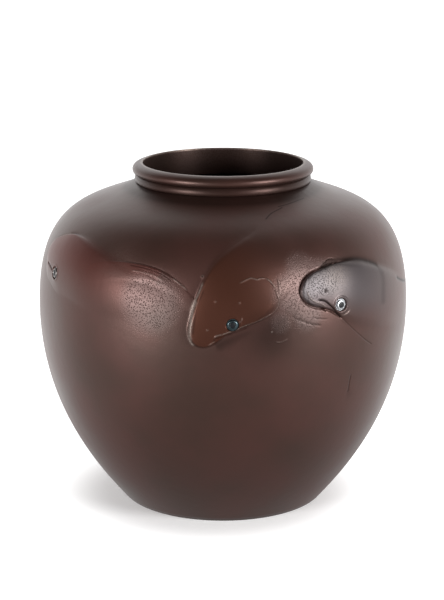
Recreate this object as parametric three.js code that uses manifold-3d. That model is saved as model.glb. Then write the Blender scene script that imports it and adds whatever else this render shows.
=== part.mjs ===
// A round cast-bronze vase, 250 mm across the belly and 230 mm high, with three fish in low relief.
// Units are millimetres and +Z is up. The origin is the middle of the foot, on the plane it stands on.
//
// The wall is one smooth curve in two parts, foot to belly and belly to shoulder. The fish are placed
// on that curve: a place on the wall is an azimuth in degrees, from the front towards the right, and a
// height in mm measured along the wall from the belly line, so they stay on the wall when it changes.

import * as THREE from 'three';
import { mergeVertices } from 'three/addons/utils/BufferGeometryUtils.js';
import Module from 'manifold-3d';

const wasm = await Module();
wasm.setup();

// Fineness of the facets
const TURN_STEPS = 60;
const WALL_STEPS = 24;
const INSIDE_STEPS = 12;
const EYE_STEPS = 24;
const PUPIL_STEPS = 16;

// Outer wall: where it starts, bulges and ends, and how far it holds its direction there
const FOOT_RADIUS = 70;
const FOOT_FLARE = 40;
const FOOT_HOLD = 26.5;
const BELLY_RADIUS = 125;
const BELLY_HEIGHT = 134;
const BELLY_HOLD_BELOW = 69.7;
const BELLY_HOLD_ABOVE = 77.2;
const SHOULDER_RADIUS = 58.5;
const SHOULDER_HEIGHT = 217.4;
const SHOULDER_SLOPE = 31.6;
const SHOULDER_HOLD = 30.5;
const WALL = 3;

// Clearance between parts that fit into each other, and how far a cutter reaches past what it cuts
const CLEARANCE = 0.3;
const CUT_PAST = 3;

// Foot: the flat ring it stands on, and the ledge that carries the base plate
const FOOT_FACE_WIDTH = 7.7;
const LEDGE_WIDTH = 4.3;
const LEDGE_THICKNESS = 3;
const FOOT_ROOT_HEIGHT = 14;
const PLATE_THICKNESS = 3;
const PLATE_RECESS = 2;

// Mouth: the land on top of the shoulder, the spigot in the neck, the collar and the rolled lip
const LAND_WIDTH = 2.5;
const SPIGOT_LENGTH = 6;
const SPIGOT_WALL = 1.8;
const RING_HEIGHT = 12.6;
const COLLAR_BULGE = 0.9;
const COLLAR_HEIGHT = 4.6;
const GROOVE_DEPTH = 1.2;
const GROOVE_HEIGHT = 5.4;
const LIP_OVERHANG = 2.3;
const LIP_DROP = 4.4;
const LIP_EDGE = 0.5;
const LIP_FULLNESS = 0.8;
const NECK_CHAMFER = 1.5;

// A cubic curve bulges by 3/4 of what its two middle points are pulled out
const PULL_OF_BULGE = 4 / 3;

// Inlaid eyes
const EYE_RADIUS = 3.7;
const PUPIL_RADIUS = 1.9;
const SOCKET_DEPTH = 2.2;
const EYE_PROUD = 0.3;
const PUPIL_PROUD = 0.5;
const LID_RADIUS = 4.9;
const LID_THICKNESS = 0.8;
const LID_ROOT = 3.2;

// Creases that are chased into the fish
const CREASE_RADIUS = 0.6;
const CREASE_STEPS = 12;
const CREASE_SIDES = 6;

// The fish. spine: places on the wall from the snout to the tail. The blunt nose has its width at
// noseLength, and the head its full half width at headLength. dome, lift and lean shape the section:
// dome is how far its middle bulges, lift how high its edges stand, and lean how much the back stands
// higher than the belly. fadeFrom is the part of the length from which it sinks into the wall.
// eye and creases are places on the wall too.
const FISH = {
  left: {
    spine: [[-72, 38.5], [-64, 41], [-52, 39.5], [-36, 31], [-20, 21], [-2, 8]],
    noseWidth: 12,
    noseLength: 9,
    halfWidth: 20.3,
    headLength: 34,
    tailWidth: 20,
    dome: 1.9,
    lift: 0.4,
    lean: 0.9,
    fadeFrom: 0.3,
    eye: [-62.4, 32.8],
    creases: [
      [[-70.2, 36.6], [-69, 35.9], [-66.7, 34.8], [-64.4, 33]],
      [[-38.8, 45], [-39.1, 37.5], [-39.1, 29.2], [-38.3, 20]],
    ],
  },
  left_fin: {
    spine: [[-37, 44], [-30, 45], [-22, 44.5], [-15.5, 40], [-11, 32]],
    noseWidth: 2,
    noseLength: 10,
    halfWidth: 6.5,
    headLength: 14,
    tailWidth: 4,
    dome: 0.3,
    lift: 0.25,
    lean: 0.5,
    fadeFrom: 0.7,
    creases: [],
  },
  middle: {
    spine: [[-7.3, 3], [-4.6, 14.3], [-0.3, 27], [6.5, 41], [16, 58], [24, 74], [34, 88]],
    noseWidth: 9,
    noseLength: 10,
    halfWidth: 23.6,
    headLength: 50,
    tailWidth: 17,
    dome: 1.5,
    lift: 1.5,
    lean: 0.3,
    fadeFrom: 0.3,
    eye: [2.7, 16.5],
    creases: [
      [[-3.2, 6.2], [-1.6, 8.4], [0, 9.4], [3.6, 12], [7.6, 15.6]],
      [[15.8, 26.2], [16.2, 30.5], [15.2, 38.2], [12.7, 44], [10, 43.5], [7.9, 44.5], [4.5, 41.5]],
    ],
  },
  right: {
    spine: [[23, 33], [30.5, 34.4], [37, 33], [46, 26.8], [59, 18], [74, 7], [88, -4]],
    noseWidth: 10.5,
    noseLength: 12,
    halfWidth: 20.5,
    headLength: 50,
    tailWidth: 17,
    dome: 1.5,
    lift: 1.6,
    lean: 0.4,
    fadeFrom: 0.25,
    eye: [36, 23],
    creases: [
      [[28.2, 28], [30.1, 27.5], [32, 24.2], [34, 19.5], [36, 15.8], [39.8, 8.2]],
      [[54.5, 42.8], [56, 36], [55.7, 26.2], [54.3, 12.8]],
    ],
  },
};

const DEG = Math.PI / 180;
const SPINE_SAMPLES = 120;
const SECTION_POWER = 0.75;

// The solid of a fish: its fineness, how deep it reaches into the wall, and how deep it sinks at most
const FISH_STATIONS = 20;
const FISH_SIDES = 12;
const FISH_ROOT = 1.6;
const DEEPEST_TOP = 1.2;

// The outer wall as a curve in the plane of radius and height
function makeWallCurve() {
  const flare = FOOT_FLARE * DEG;
  const slope = SHOULDER_SLOPE * DEG;
  const foot = new THREE.Vector2(FOOT_RADIUS, 0);
  const footEnd = new THREE.Vector2(Math.sin(flare), Math.cos(flare)).multiplyScalar(FOOT_HOLD).add(foot);
  const belly = new THREE.Vector2(BELLY_RADIUS, BELLY_HEIGHT);
  const underBelly = new THREE.Vector2(BELLY_RADIUS, BELLY_HEIGHT - BELLY_HOLD_BELOW);
  const overBelly = new THREE.Vector2(BELLY_RADIUS, BELLY_HEIGHT + BELLY_HOLD_ABOVE);
  const shoulder = new THREE.Vector2(SHOULDER_RADIUS, SHOULDER_HEIGHT);
  const shoulderEnd = new THREE.Vector2(Math.cos(slope), -Math.sin(slope))
    .multiplyScalar(SHOULDER_HOLD)
    .add(shoulder);
  const curve = new THREE.CurvePath();
  curve.add(new THREE.CubicBezierCurve(foot, footEnd, underBelly, belly));
  curve.add(new THREE.CubicBezierCurve(belly, overBelly, shoulderEnd, shoulder));
  return curve;
}

const wallCurve = makeWallCurve();
const WALL_LENGTH = wallCurve.getLength();
const BELLY_AT = wallCurve.curves[0].getLength();

// The wall's point and outward direction at a share of its length, both in radius and height
function wallAt(share) {
  const point = wallCurve.getPoint(share);
  const tangent = wallCurve.getTangent(share);
  return { point, outward: new THREE.Vector2(tangent.y, -tangent.x) };
}

function shareOfHeight(up) {
  return THREE.MathUtils.clamp((BELLY_AT + up) / WALL_LENGTH, 0, 1);
}

// The point in space at an azimuth and a height along the wall, lifted off it
function onWall(azimuth, up, lift) {
  const { point, outward } = wallAt(shareOfHeight(up));
  const radius = point.x + outward.x * lift;
  const height = point.y + outward.y * lift;
  return new THREE.Vector3(radius * Math.sin(azimuth * DEG), -radius * Math.cos(azimuth * DEG), height);
}

// Solids and geometries

function toSolid(geometry) {
  const bare = geometry.clone();
  bare.deleteAttribute('normal');
  bare.deleteAttribute('uv');
  const merged = mergeVertices(bare, 1e-4);
  const triVerts = [];
  const index = merged.index.array;
  for (let i = 0; i < index.length; i += 3) {
    const [a, b, c] = [index[i], index[i + 1], index[i + 2]];
    if (a !== b && b !== c && c !== a) triVerts.push(a, b, c);
  }
  const mesh = new wasm.Mesh({
    numProp: 3,
    vertProperties: new Float32Array(merged.attributes.position.array),
    triVerts: new Uint32Array(triVerts),
  });
  mesh.merge();
  return new wasm.Manifold(mesh);
}

function toGeometry(solid) {
  const mesh = solid.getMesh();
  const geometry = new THREE.BufferGeometry();
  geometry.setAttribute('position', new THREE.BufferAttribute(mesh.vertProperties, mesh.numProp));
  geometry.setIndex(new THREE.BufferAttribute(mesh.triVerts, 1));
  geometry.computeVertexNormals();
  return geometry;
}

// A profile of radius and height, turned about the vertical axis
function turned(points, steps = TURN_STEPS) {
  return new THREE.LatheGeometry(points, steps).rotateX(Math.PI / 2);
}

function named(name, geometry, material) {
  const mesh = new THREE.Mesh(geometry, new THREE.MeshStandardMaterial(material));
  mesh.name = name;
  return mesh;
}

// Fish

function smooth(from, to, x) {
  return THREE.MathUtils.smoothstep(x, from, to);
}

// A fish's spine in mm: along the belly circle, and along the wall
function makeSpine(fish) {
  const points = fish.spine.map(([azimuth, up]) => new THREE.Vector2(azimuth * DEG * BELLY_RADIUS, up));
  const curve = new THREE.SplineCurve(points);
  return { curve, length: curve.getLength() };
}

// A point of the spine, its direction on the wall, and how much the wall is narrower there
function spineAt(spine, back) {
  const share = THREE.MathUtils.clamp(back / spine.length, 0, 1);
  const point = spine.curve.getPointAt(share);
  const tangent = spine.curve.getTangentAt(share);
  const squeeze = wallAt(shareOfHeight(point.y)).point.x / BELLY_RADIUS;
  return { point, squeeze, ahead: new THREE.Vector2(tangent.x * squeeze, tangent.y).normalize() };
}

function halfWidthAt(fish, spine, back) {
  const nose = THREE.MathUtils.clamp(back / fish.noseLength, 0, 1);
  const swell = smooth(0, fish.headLength, back);
  const taper = smooth(fish.headLength, spine.length, back);
  const wide = THREE.MathUtils.lerp(fish.noseWidth, fish.halfWidth, swell);
  return (wide + (fish.tailWidth - fish.halfWidth) * taper) * Math.sqrt(1 - (1 - nose) ** 2);
}

// The place on the wall that lies back mm from the snout and across mm from the spine
function placeOnFish(spine, back, across) {
  const { point, squeeze, ahead } = spineAt(spine, back);
  const azimuth = (point.x - (ahead.y * across) / squeeze) / BELLY_RADIUS / DEG;
  return { azimuth, up: point.y + ahead.x * across };
}

// The other way round: how far back and across on the fish a place on the wall lies
function measureOnFish(spine, azimuth, up) {
  let nearest = { distance: Infinity };
  for (let i = 0; i <= SPINE_SAMPLES; i += 1) {
    const along = (i / SPINE_SAMPLES) * spine.length;
    const { point, squeeze, ahead } = spineAt(spine, along);
    const x = (azimuth * DEG * BELLY_RADIUS - point.x) * squeeze;
    const y = up - point.y;
    const distance = Math.hypot(x, y);
    if (distance < nearest.distance) {
      nearest = { distance, back: along + x * ahead.x + y * ahead.y, across: y * ahead.x - x * ahead.y };
    }
  }
  return nearest;
}

// How high the outer face of the fish stands over the wall
function liftOnFish(fish, spine, back, across) {
  const width = Math.max(halfWidthAt(fish, spine, back), 1e-6);
  const q = THREE.MathUtils.clamp(across / width, -1, 1);
  const sunk = smooth(fish.fadeFrom, 1, back / spine.length);
  const edge = fish.lift - sunk * (fish.lift + fish.dome + fish.lean) + fish.lean * q;
  const bulge = fish.dome * Math.min(width / fish.halfWidth, 1) * (1 - q * q) ** SECTION_POWER;
  return edge + bulge;
}

// The point in space where the fish's outer face lies over a place on the wall
function skinPoint(fish, spine, azimuth, up) {
  const { back, across } = measureOnFish(spine, azimuth, up);
  return onWall(azimuth, up, liftOnFish(fish, spine, back, across));
}

// A closed loft from the snout to the tail: an outer face that is domed, and a root inside the wall
function makeFishSolid(fish) {
  const spine = makeSpine(fish);
  const position = [];
  const index = [];
  const row = FISH_SIDES + 1;
  const quad = (a, b, c, d) => index.push(a, b, c, a, c, d);
  for (let i = 0; i <= FISH_STATIONS; i += 1) {
    const back = (1 - Math.cos((i / FISH_STATIONS) * (Math.PI / 2))) * spine.length;
    const width = halfWidthAt(fish, spine, back);
    for (const outer of [true, false]) {
      for (let j = 0; j <= FISH_SIDES; j += 1) {
        const across = width * Math.cos((j / FISH_SIDES) * Math.PI);
        const { azimuth, up } = placeOnFish(spine, back, across);
        const top = Math.max(liftOnFish(fish, spine, back, across), -DEEPEST_TOP);
        position.push(...onWall(azimuth, up, outer ? top : -FISH_ROOT).toArray());
      }
    }
  }
  for (let i = 0; i < FISH_STATIONS; i += 1) {
    const outer = i * 2 * row;
    const root = outer + row;
    const next = 2 * row;
    for (let j = 0; j < FISH_SIDES; j += 1) {
      quad(outer + j, outer + j + 1, outer + j + 1 + next, outer + j + next);
      quad(root + j + 1, root + j, root + j + next, root + j + 1 + next);
    }
    quad(root, outer, outer + next, root + next);
    quad(outer + FISH_SIDES, root + FISH_SIDES, root + FISH_SIDES + next, outer + FISH_SIDES + next);
  }
  const outer = FISH_STATIONS * 2 * row;
  const root = outer + row;
  for (let j = 0; j < FISH_SIDES; j += 1) quad(outer + j, outer + j + 1, root + j + 1, root + j);
  const geometry = new THREE.BufferGeometry();
  geometry.setAttribute('position', new THREE.Float32BufferAttribute(position, 3));
  geometry.setIndex(index);
  return toSolid(geometry);
}

function makeCrease(fish, places) {
  const spine = makeSpine(fish);
  const path = new THREE.CatmullRomCurve3(places.map(([azimuth, up]) => skinPoint(fish, spine, azimuth, up)));
  const section = new THREE.Shape();
  for (let i = 0; i < CREASE_SIDES; i += 1) {
    const angle = (i / CREASE_SIDES) * 2 * Math.PI;
    const corner = [CREASE_RADIUS * Math.cos(angle), CREASE_RADIUS * Math.sin(angle)];
    if (i === 0) section.moveTo(...corner);
    else section.lineTo(...corner);
  }
  const options = { steps: CREASE_STEPS, extrudePath: path, bevelEnabled: false };
  return toSolid(new THREE.ExtrudeGeometry(section, options));
}

// A group at the eye, its Z axis straight out of the fish
function makeEyePlace(fish) {
  const spine = makeSpine(fish);
  const [azimuth, up] = fish.eye;
  const centre = skinPoint(fish, spine, azimuth, up);
  const aside = skinPoint(fish, spine, azimuth + 1 / BELLY_RADIUS / DEG, up).sub(centre);
  const above = skinPoint(fish, spine, azimuth, up + 1).sub(centre);
  const place = new THREE.Group();
  place.position.copy(centre);
  place.quaternion.setFromUnitVectors(new THREE.Vector3(0, 0, 1), aside.cross(above).normalize());
  place.updateMatrixWorld();
  return place;
}

function makeSocket(place) {
  const radius = EYE_RADIUS + CLEARANCE;
  const hole = new THREE.CylinderGeometry(radius, radius, SOCKET_DEPTH + CUT_PAST, EYE_STEPS);
  hole.rotateX(Math.PI / 2).translate(0, 0, (CUT_PAST - SOCKET_DEPTH) / 2);
  return toSolid(hole.applyMatrix4(place.matrixWorld));
}

// The round rim of an eye, rooted deep enough to hold where the fish falls away beside it
function makeLid(place) {
  const profile = new THREE.Path();
  profile.moveTo(LID_RADIUS - LID_THICKNESS, -LID_ROOT);
  profile.lineTo(LID_RADIUS + LID_THICKNESS, -LID_ROOT);
  profile.absarc(LID_RADIUS, 0, LID_THICKNESS, 0, Math.PI);
  profile.closePath();
  return toSolid(turned(profile.getPoints(2), EYE_STEPS).applyMatrix4(place.matrixWorld));
}

// Pieces

function makeVaseBody(eyePlaces) {
  const outside = [new THREE.Vector2(0, 0)];
  for (let i = 0; i <= WALL_STEPS; i += 1) outside.push(wallAt(i / WALL_STEPS).point);
  outside.push(new THREE.Vector2(0, SHOULDER_HEIGHT));
  let body = toSolid(turned(outside));
  for (const fish of Object.values(FISH)) body = body.add(makeFishSolid(fish));
  for (const place of Object.values(eyePlaces)) body = body.add(makeLid(place));

  const rabbet = FOOT_RADIUS - FOOT_FACE_WIDTH;
  const ledge = PLATE_RECESS + PLATE_THICKNESS;
  const bore = SHOULDER_RADIUS - LAND_WIDTH;
  const inside = [
    new THREE.Vector2(0, -CUT_PAST),
    new THREE.Vector2(rabbet, -CUT_PAST),
    new THREE.Vector2(rabbet, ledge),
    new THREE.Vector2(rabbet - LEDGE_WIDTH, ledge),
    new THREE.Vector2(rabbet - LEDGE_WIDTH, ledge + LEDGE_THICKNESS),
  ];
  for (let i = 0; i <= INSIDE_STEPS; i += 1) {
    const { point, outward } = wallAt(i / INSIDE_STEPS);
    const inner = point.clone().addScaledVector(outward, -WALL);
    if (inner.y > FOOT_ROOT_HEIGHT && inner.x > bore) inside.push(inner);
  }
  inside.push(new THREE.Vector2(bore, inside[inside.length - 1].y + NECK_CHAMFER));
  inside.push(new THREE.Vector2(bore, SHOULDER_HEIGHT + CUT_PAST));
  inside.push(new THREE.Vector2(0, SHOULDER_HEIGHT + CUT_PAST));
  body = body.subtract(toSolid(turned(inside)));

  for (const place of Object.values(eyePlaces)) body = body.subtract(makeSocket(place));
  for (const fish of Object.values(FISH)) {
    for (const crease of fish.creases) body = body.subtract(makeCrease(fish, crease));
  }
  return toGeometry(body);
}

function makeMouthRing() {
  const spigotRadius = SHOULDER_RADIUS - LAND_WIDTH - CLEARANCE;
  const bore = spigotRadius - SPIGOT_WALL;
  const bottom = SHOULDER_HEIGHT - SPIGOT_LENGTH;
  const top = SHOULDER_HEIGHT + RING_HEIGHT;
  const collarPull = SHOULDER_RADIUS + COLLAR_BULGE * PULL_OF_BULGE;
  const collarTop = SHOULDER_HEIGHT + COLLAR_HEIGHT;
  const grooveRadius = SHOULDER_RADIUS - GROOVE_DEPTH;
  const grooveHeight = SHOULDER_HEIGHT + GROOVE_HEIGHT;
  const lipRadius = SHOULDER_RADIUS + LIP_OVERHANG;
  const lipHeight = top - LIP_DROP;
  const profile = new THREE.Path();
  profile.moveTo(bore, bottom);
  profile.lineTo(spigotRadius, bottom);
  profile.lineTo(spigotRadius, SHOULDER_HEIGHT);
  profile.lineTo(SHOULDER_RADIUS, SHOULDER_HEIGHT);
  profile.bezierCurveTo(collarPull, SHOULDER_HEIGHT, collarPull, collarTop, grooveRadius, grooveHeight);
  profile.quadraticCurveTo(lipRadius, grooveHeight, lipRadius, lipHeight);
  profile.quadraticCurveTo(lipRadius, lipHeight + LIP_DROP * LIP_FULLNESS, bore + LIP_EDGE, top);
  profile.lineTo(bore, top - LIP_EDGE);
  profile.closePath();
  return toGeometry(toSolid(turned(profile.getPoints(5))));
}

function makeBasePlate() {
  const radius = FOOT_RADIUS - FOOT_FACE_WIDTH - CLEARANCE;
  const ledge = PLATE_RECESS + PLATE_THICKNESS;
  const profile = [
    new THREE.Vector2(0, PLATE_RECESS),
    new THREE.Vector2(radius, PLATE_RECESS),
    new THREE.Vector2(radius, ledge),
    new THREE.Vector2(0, ledge),
  ];
  return toGeometry(toSolid(turned(profile)));
}

// The pale ring of an eye, with its upper edge rounded over, in the eye's own frame
function makeEyeRing() {
  const bore = PUPIL_RADIUS + CLEARANCE;
  const floor = CLEARANCE - SOCKET_DEPTH;
  const profile = new THREE.Path();
  profile.moveTo(bore, floor);
  profile.lineTo(EYE_RADIUS, floor);
  profile.lineTo(EYE_RADIUS, -EYE_PROUD);
  profile.quadraticCurveTo(EYE_RADIUS, EYE_PROUD, bore, EYE_PROUD);
  profile.closePath();
  return toGeometry(toSolid(turned(profile.getPoints(4), EYE_STEPS)));
}

function makePupil() {
  const floor = CLEARANCE - SOCKET_DEPTH;
  const profile = new THREE.Path();
  profile.moveTo(0, floor);
  profile.lineTo(PUPIL_RADIUS, floor);
  profile.lineTo(PUPIL_RADIUS, 0);
  profile.quadraticCurveTo(PUPIL_RADIUS, PUPIL_PROUD, 0, PUPIL_PROUD);
  return toGeometry(toSolid(turned(profile.getPoints(4), PUPIL_STEPS)));
}

// The vase

const BRONZE = { color: 0x4a322d, roughness: 0.42, metalness: 0.6 };
const SILVER = { color: 0xb9bdc0, roughness: 0.25, metalness: 1 };
const BLACK_METAL = { color: 0x15161a, roughness: 0.2, metalness: 0.8 };

const eyePlaces = {};
for (const [name, fish] of Object.entries(FISH)) {
  if (fish.eye) eyePlaces[name] = makeEyePlace(fish);
}

const vase = new THREE.Group();
vase.add(named('vase_body', makeVaseBody(eyePlaces), BRONZE));
vase.add(named('mouth_ring', makeMouthRing(), BRONZE));
vase.add(named('base_plate', makeBasePlate(), BRONZE));
for (const [name, place] of Object.entries(eyePlaces)) {
  place.add(named(`${name}_eye_ring`, makeEyeRing(), SILVER));
  place.add(named(`${name}_pupil`, makePupil(), BLACK_METAL));
  vase.add(place);
}

export default vase;
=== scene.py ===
import math

import bmesh
import bpy
import numpy as np
from mathutils import Matrix, Vector


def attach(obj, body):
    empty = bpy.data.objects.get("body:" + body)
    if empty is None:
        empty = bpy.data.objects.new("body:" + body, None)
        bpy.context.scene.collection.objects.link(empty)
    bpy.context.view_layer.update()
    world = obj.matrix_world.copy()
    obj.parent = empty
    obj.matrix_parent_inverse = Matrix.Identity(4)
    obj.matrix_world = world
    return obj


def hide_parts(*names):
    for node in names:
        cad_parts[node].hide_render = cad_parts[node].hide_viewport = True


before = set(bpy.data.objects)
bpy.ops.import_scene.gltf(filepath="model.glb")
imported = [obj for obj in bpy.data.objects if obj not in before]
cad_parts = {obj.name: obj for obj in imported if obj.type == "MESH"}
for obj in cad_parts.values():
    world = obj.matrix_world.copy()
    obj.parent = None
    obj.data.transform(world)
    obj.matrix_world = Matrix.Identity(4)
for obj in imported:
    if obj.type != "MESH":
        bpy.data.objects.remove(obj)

bl_info = {
    "name": "Bronze fish vase",
    "version": (1, 0, 0),
    "blender": (4, 5, 0),
    "location": "View3D > Sidebar > Vase",
    "description": "A round cast-bronze vase with fish in low relief, an inlaid eye on each fish",
    "category": "Add Mesh",
}

# The vase is built in metres in the frame's own axes: Z up, the front towards -Y.
# A place on the wall is (around, up): metres along the belly circle from the front towards
# the right, and metres along the wall's curve from the belly line. A place on a fish is
# (back, across): metres back from its snout, and metres from its spine towards its back fin.

MM = 0.001

# The fish, in millimetres and degrees. spine: places on the wall as (azimuth, up) from the snout to
# the tail. The blunt nose has its width at nose_length, the head its full half width at head_length.
# dome, lift and lean shape the section: dome is how far its middle bulges, lift how high its edges
# stand, and lean how much the back stands higher than the belly. fade_from is the share of the
# length from which it sinks into the wall. edge is half the width over which its edge rises, on the
# belly side and at the back, inset how far inside the outline that is, undercut the depth of the groove
# along it as a share of the edge's height, and softening the distances from the snout between which the
# edge turns soft. tint: the mask of its patina colour, and tinted: where that sets in, from the belly side
# to the back, as shares of the half width. eye: a place on the wall as (azimuth, up); silver: its ring's
# colour, as it tarnished; lid: the height of the lid round it.
FISH = {
    "left": {
        "spine": [(-74, 38.3), (-64, 41), (-52, 39.5), (-36, 31), (-20, 21), (-2, 8)],
        "nose_width": 12, "nose_length": 11, "half_width": 20.3, "head_length": 34, "tail_width": 20,
        "dome": 1.9, "lift": 0.4, "lean": 0.9, "fade_from": 0.3,
        "edge": (0.5, 0.5), "inset": 0, "undercut": 0.4, "softening": (24, 56),
        "lid": 0.2, "tint": "left_fish", "tinted": (-0.8, 0.5),
        "eye": (-62.4, 32.8), "silver": (0.16, 0.145, 0.14),
    },
    "middle": {
        "spine": [(-7.3, 3), (-4.6, 14.3), (-0.3, 27), (6.5, 41), (16, 58), (24, 74), (34, 88)],
        "nose_width": 9, "nose_length": 10, "half_width": 23.6, "head_length": 50, "tail_width": 17,
        "dome": 1.5, "lift": 1.5, "lean": 0.3, "fade_from": 0.3,
        "edge": (0.5, 1.7), "inset": 0, "undercut": 0.1, "softening": (30, 56),
        "lid": 0.15, "tint": "middle_fish", "tinted": (-1.6, -0.9),
        "eye": (2.7, 16.5), "silver": (0.07, 0.095, 0.105),
    },
    "right": {
        "spine": [(23, 33), (30.5, 34.4), (37, 33), (46, 26.8), (59, 18), (74, 7), (88, -4)],
        "nose_width": 10.5, "nose_length": 12, "half_width": 20.5, "head_length": 50, "tail_width": 17,
        "dome": 1.5, "lift": 1.6, "lean": 0.4, "fade_from": 0.25,
        "edge": (0.45, 0.45), "inset": 1.1, "undercut": 0.6, "softening": (24, 44),
        "lid": 0.5, "tint": "right_fish", "tinted": (-1.1, 0.1),
        "eye": (36, 23), "silver": (0.46, 0.47, 0.49),
    },
    "left_fin": {
        "spine": [(-46, 37.5), (-38, 43), (-30, 45), (-22, 44.5), (-15.5, 40), (-11, 32)],
        "nose_width": 7, "nose_length": 12, "half_width": 7, "head_length": 14, "tail_width": 4,
        "dome": 0.3, "lift": 0.85, "lean": 0, "fade_from": 0.7,
        "edge": (3, 0.4), "inset": 0, "undercut": 0.1, "softening": (90, 99),
        "tint": "left_fish", "tinted": (-1.2, 0.8),
    },
}

# Lines chased into the wall, with a negative depth thin ridges, and with none bands that are only painted:
# (depth, width, lightening, wall places). Depth and width are in millimetres. Lightening is how much paler a
# line is painted, partly as rubbing of its ridge and partly as a painted highlight where an edge would catch
# the lamps; negative, how much darker, as painted shade in grooves, hollows and under the jaw, and as the
# darker tone of old scratches. The places are (azimuth, up).
LINES = [
    # Left fish: mouth, with painted shade in it; rim of its head, painted paler; gill cover; rays of its fin
    (0.8, 0.55, -0.8, [(-70.7, 36.8), (-69.7, 36.2), (-66.7, 34.8), (-64.4, 33)]),
    (-0.1, 1.3, 0.9, [(-73.4, 38), (-74.6, 42), (-74.4, 47), (-71.6, 52.4), (-67.3, 57), (-63.3, 60)]),
    (0.03, 1.8, 0, [(-38.8, 45), (-39.1, 37.5), (-39.1, 29.2), (-38.3, 20)]),
    (-0.15, 0.35, 0.5, [(-15.4, 44.6), (-14, 42.6), (-12, 39.8), (-10.3, 36.8)]),
    (0.10, 0.45, -0.5, [(-30.1, 49.8), (-25.9, 49.3), (-21.7, 48), (-18, 45.6), (-15, 42)]),
    (0.06, 0.3, -0.2, [(-27, 48), (-25.9, 47.8), (-21.7, 46.6), (-18, 44), (-16, 41.6)]),
    (-0.08, 0.35, 0.3, [(-29, 46.4), (-25.4, 46.2), (-20.8, 44.6), (-17.6, 41.8)]),
    (0.06, 0.3, -0.2, [(-24, 44.9), (-21, 43.2), (-17.6, 39.8), (-16.2, 38.2)]),
    (-0.08, 0.35, 0.3, [(-22.5, 42.4), (-19.9, 40.8), (-18, 38.8)]),
    # Middle fish: rim of its head, with a line of painted shade inside it and bands painted paler on it;
    # snout, jaw and gill cover, fold behind it, mouth, under the eye, painted shade under the jaw, throat
    (0, 0.6, -0.5, [(-5.4, 38.5), (-6.4, 33), (-7.6, 26.8), (-7.9, 20.5), (-8.2, 15), (-8.5, 9.5)]),
    (0, 0.6, 0.8, [(-5.8, 43), (-6.5, 38.5), (-7.6, 33), (-8.8, 26.8), (-9.0, 20.5), (-9.2, 15), (-9.4, 9.5),
                   (-9.1, 5), (-7.9, 2.4)]),
    (0, 1.1, 0.8, [(-7.6, 32), (-8.6, 26.8), (-9.0, 20.5), (-9.2, 15), (-9.4, 9.5), (-9.1, 5)]),
    (-0.3, 0.4, 0.4, [(-4.4, 3.2), (-3.3, 4.8), (-1.9, 7)]),
    (-0.5, 0.4, 0.6, [(-2.6, 8), (-1.9, 9.8), (-0.1, 10.8), (1.6, 12.2), (3.6, 13.2), (5.6, 15.5),
                      (8.1, 17.2)]),
    (-0.35, 0.35, 0.4, [(6.8, 16.4), (8.1, 17.2), (10.3, 18.8), (12.4, 20.8), (14.3, 22.8)]),
    (-0.2, 0.35, 0.25, [(13.4, 21.8), (14.3, 22.8), (15.8, 26.2), (16.2, 30.5), (15.7, 34.2), (15.2, 38.2)]),
    (-0.25, 0.35, 0.5, [(15.4, 37.2), (14.6, 40.2), (13.4, 43), (12.2, 44.2)]),
    (-0.25, 0.35, 0.4, [(12.7, 44), (11.1, 44.2), (10, 43.5), (9, 44.2), (7.9, 44.5), (6.3, 43.2),
                        (4.5, 41.5)]),
    (-0.15, 0.35, 0.2, [(16.2, 31.5), (16.5, 35.8), (16.5, 41.2), (16.1, 44.5)]),
    (0.5, 0.5, -0.4, [(-3.2, 6.2), (-1.6, 8.4), (0, 9.4), (3.6, 12), (7.6, 15.6)]),
    (-0.25, 0.35, 0.4, [(5.0, 22), (5.3, 20.2), (4.9, 18.8), (4.2, 17.2)]),
    (0, 3.2, -0.45, [(-2.5, 2), (1.6, 6), (6, 10), (10.5, 13.5), (15, 15.5)]),
    (-0.2, 0.35, 0.25, [(14.7, 4.8), (16.3, 4), (17.9, 5), (18.9, 6)]),
    # Right fish: mouth, lower lip and its rim, two chin folds, painted shade in the hollow round its head,
    # gill with painted shade along it, a nick over its head, under the eye, belly fin, back with painted
    # shade in its groove
    (0.7, 0.42, -0.9, [(28, 28.2), (30.3, 27.2), (32.4, 23.6), (34.4, 19), (36.9, 13.8)]),
    (0.25, 0.35, -0.4, [(36.4, 14.8), (41.7, 4.5), (46.6, -4), (50.2, -8.9)]),
    (0.5, 0.38, -0.6, [(24.3, 30.4), (25.7, 26.6), (28.5, 24.2), (30.4, 22.2), (31.6, 19.4)]),
    (-0.3, 0.35, 0.5, [(24.9, 35), (25, 33.4), (25.6, 30.4), (27.2, 27.4), (29.4, 25.5), (31.2, 22.6)]),
    (0.12, 0.7, -0.5, [(19.7, 20.5), (21.5, 17.8), (23.9, 15.5), (26.8, 13.2), (29.8, 11.5)]),
    (0.06, 0.5, -0.4, [(26.2, 17.8), (28.9, 16.2), (32, 15)]),
    (0.2, 2.2, -0.8, [(31, 47), (34, 49.6), (38.2, 50.4), (43.2, 49.6), (48.2, 47.6), (53.2, 43.6),
                     (56, 40)]),
    (0.08, 3, -0.35, [(51.2, 46), (54.6, 40.5), (55.8, 35.8), (55.6, 30), (54.6, 22.2), (54.4, 15)]),
    (0.15, 0.5, -0.9, [(31.8, 48.8), (33.4, 50.8), (35.2, 52.4), (37.7, 52)]),
    (-0.2, 0.35, 0.4, [(35.9, 16.8), (37, 16.2), (38.5, 17.2), (39.4, 19.2)]),
    (0.25, 0.45, -0.6, [(41.4, -24.4), (41.2, -31), (41.4, -37.6), (42.4, -41.5)]),
    (0.5, 1.1, -1, [(66.4, 28.3), (70.2, 25), (76, 21), (83, 17.6)]),
    # Old scratches on the shoulder
    (0.08, 0.35, -1, [(52, 109), (44, 107.8), (37.8, 106.4), (29, 104.6)]),
    (0.08, 0.35, -1, [(32, 103.5), (23.5, 98), (18.2, 90.4)]),
]
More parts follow.
